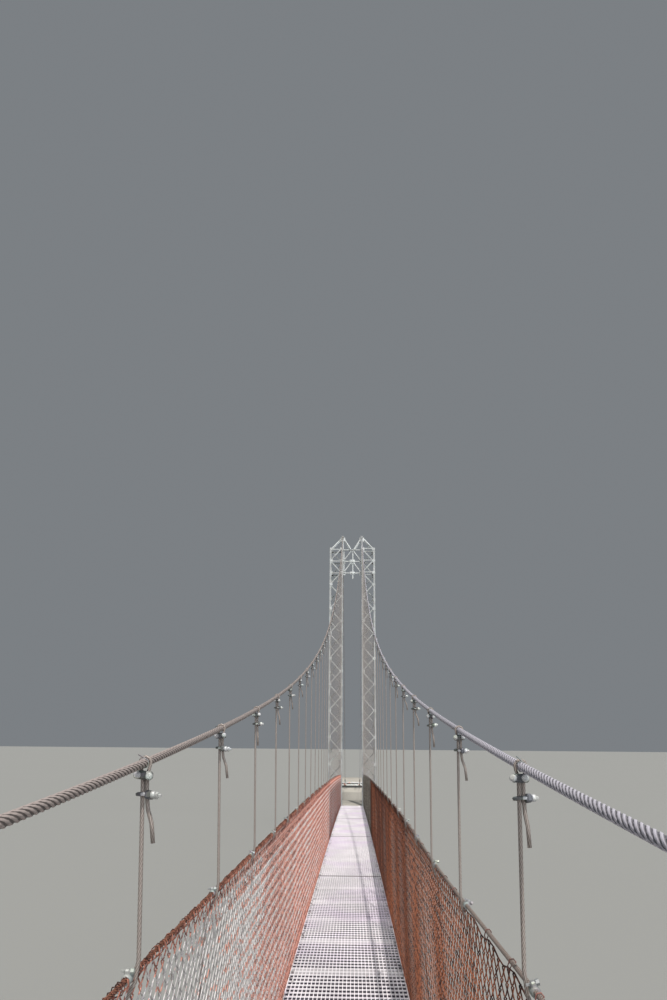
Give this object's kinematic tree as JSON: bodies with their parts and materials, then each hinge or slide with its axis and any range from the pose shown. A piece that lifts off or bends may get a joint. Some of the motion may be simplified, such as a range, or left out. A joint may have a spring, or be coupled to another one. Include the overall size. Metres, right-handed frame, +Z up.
{
  "type": "cable suspension footbridge, one-tenth scale model",
  "caption": "Narrow cable-hung footbridge with a grating deck between mesh fences, lattice towers, backstays and concrete anchor blocks, at one-tenth scale.",
  "frame": {"origin": "on the floor under the middle of the span, midway between the two main cables", "axes": "+Y along the walkway towards the far tower, +X to the right for someone walking that way, +Z up"},
  "size_m": [0.25, 10.6, 1.1932],
  "materials": {
    "wire_rope": "weathered, dull",
    "rusty_rope": "rusty",
    "pale_mesh": "galvanised wire, rusting",
    "rusty_mesh": "rusty wire",
    "grating": "galvanised, pale",
    "galvanised": "galvanised, satin",
    "concrete": "rough cast"
  },
  "bodies": {
    "root": {"main_cable_left": "wire_rope", "main_cable_right": "wire_rope", "hand_rope_left": "rusty_rope", "hand_rope_right": "wire_rope", "fence_left_1": "pale_mesh", "fence_left_2": "pale_mesh", "fence_left_3": "pale_mesh", "fence_left_4": "pale_mesh", "fence_left_5": "pale_mesh", "fence_right_1": "rusty_mesh", "fence_right_2": "rusty_mesh", "fence_right_3": "rusty_mesh", "fence_right_4": "rusty_mesh", "fence_right_5": "rusty_mesh", "deck_panel_01": "grating", "deck_panel_02": "grating", "deck_panel_03": "grating", "deck_panel_04": "grating", "deck_panel_05": "grating", "deck_panel_06": "grating", "deck_panel_07": "grating", "deck_panel_08": "grating", "deck_panel_09": "grating", "deck_panel_10": "grating", "deck_panel_11": "grating", "deck_panel_12": "grating", "deck_panel_13": "grating", "deck_panel_14": "grating", "floor_frame": "galvanised", "tower_leg_near_left": "galvanised", "tower_leg_near_right": "galvanised", "tower_leg_far_left": "galvanised", "tower_leg_far_right": "galvanised", "portal_brace_near": "galvanised", "portal_brace_far": "galvanised", "saddle_peak_near_left": "galvanised", "saddle_peak_near_right": "galvanised", "saddle_peak_far_left": "galvanised", "saddle_peak_far_right": "galvanised", "abutment_near": "concrete", "abutment_far": "concrete", "anchor_beam_near": "galvanised", "anchor_beam_far": "galvanised", "anchor_block_near": "concrete", "anchor_block_far": "concrete"}
  },
  "joints": []
}
